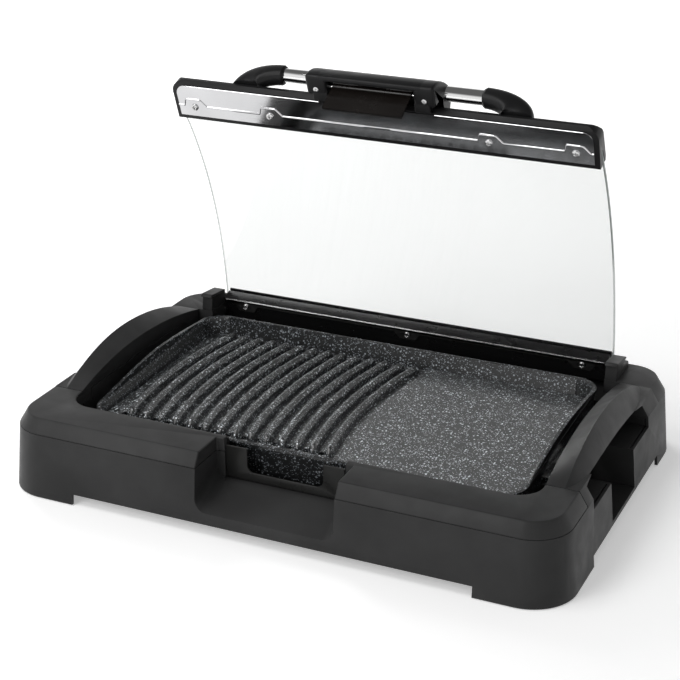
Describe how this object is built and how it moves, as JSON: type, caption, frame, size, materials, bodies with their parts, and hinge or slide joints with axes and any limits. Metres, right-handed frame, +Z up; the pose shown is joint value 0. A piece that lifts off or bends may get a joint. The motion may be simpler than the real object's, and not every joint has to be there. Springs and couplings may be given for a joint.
{
  "type": "electric grill",
  "caption": "Countertop electric grill with a hinged curved glass lid, part-ribbed lift-out plate, lift-out drip tray and arched side handles.",
  "frame": {"origin": "centre of the footprint on the surface that the grill stands on", "axes": "+X to the right along the long side, towards the thermostat port; +Y to the back, where the lid is hinged; +Z up"},
  "size_m": [0.5718, 0.3838, 0.3964],
  "materials": {
    "shell_plastic": "satin",
    "liner_sheet": "satin",
    "bright_sheet": "satin",
    "rubber": "matte",
    "bracket_steel": "satin",
    "screw_steel": "satin",
    "plate_coating": "satin",
    "element_steel": "satin",
    "pin_metal": "polished",
    "tray_coating": "satin",
    "clear_glass": "polished",
    "gloss_black": "gloss",
    "cap_plastic": "satin",
    "polished_steel": "polished"
  },
  "bodies": {
    "base": {"base_housing": "shell_plastic", "front_bezel_left": "shell_plastic", "front_bezel_right": "shell_plastic", "rear_bezel": "shell_plastic", "arch_handle_left": "shell_plastic", "arch_handle_right": "shell_plastic", "side_liner_left": "shell_plastic", "side_liner_right": "shell_plastic", "front_liner": "liner_sheet", "rear_liner": "liner_sheet", "bottom_cover": "shell_plastic", "heat_shield": "bright_sheet", "rubber_feet": "rubber", "probe_port": "shell_plastic", "plate_rests": "bracket_steel", "hinge_tower_left": "shell_plastic", "hinge_tower_right": "shell_plastic", "tower_cap_left": "shell_plastic", "tower_cap_right": "shell_plastic", "cover_screws": "screw_steel", "handle_screws": "screw_steel", "tower_screws": "screw_steel", "rim_screws": "screw_steel"},
    "plate": {"cooking_plate": "plate_coating", "heating_element": "element_steel", "terminal_pins": "pin_metal", "terminal_shroud": "bracket_steel", "sensor_tube": "bracket_steel", "element_clamps": "bracket_steel", "clamp_screws": "screw_steel"},
    "tray": {"drip_tray": "tray_coating"},
    "lid_carrier": {"hinge_pins": "pin_metal"},
    "lid": {"lid_glass": "clear_glass", "lid_rear_rail": "gloss_black", "lid_rear_strip": "polished_steel", "rear_strip_screws": "screw_steel", "lid_front_cap": "cap_plastic", "lid_front_plate": "polished_steel", "front_plate_screws": "screw_steel", "handle_bar": "pin_metal", "handle_elbow_left": "cap_plastic", "handle_elbow_right": "cap_plastic", "elbow_screws": "screw_steel", "grip_block": "gloss_black", "grip_block_screws": "screw_steel", "catch_pin": "pin_metal"},
    "catch": {"catch_flap": "gloss_black"}
  },
  "joints": [
    {"name": "plate_lift", "type": "slide", "parent": "base", "child": "plate", "axis": [0, 0, 1], "range_m": [0, 0.12]},
    {"name": "tray_lift", "type": "slide", "parent": "base", "child": "tray", "axis": [0, 0, 1], "range_m": [0, 0.06]},
    {"name": "lid_lift", "type": "slide", "parent": "base", "child": "lid_carrier", "axis": [0, 0, 1], "range_m": [0, 0.18]},
    {"name": "lid_hinge", "type": "hinge", "parent": "lid_carrier", "child": "lid", "pos_m": [0, 0.1635, 0.07], "axis": [1, 0, 0], "range_deg": [0, 67.4]},
    {"name": "catch_hinge", "type": "hinge", "parent": "lid", "child": "catch", "pos_m": [0, 0.05768, 0.36882], "axis": [1, 0, 0], "range_deg": [-14, 0], "stiffness_Nm_per_rad": 0.02, "springref_deg": 17.19}
  ],
  "couplings": [
    {"joint": "lid_lift", "follows": "plate_lift", "ratio": 1.5},
    {"joint": "tray_lift", "follows": "plate_lift", "ratio": 0.5}
  ]
}
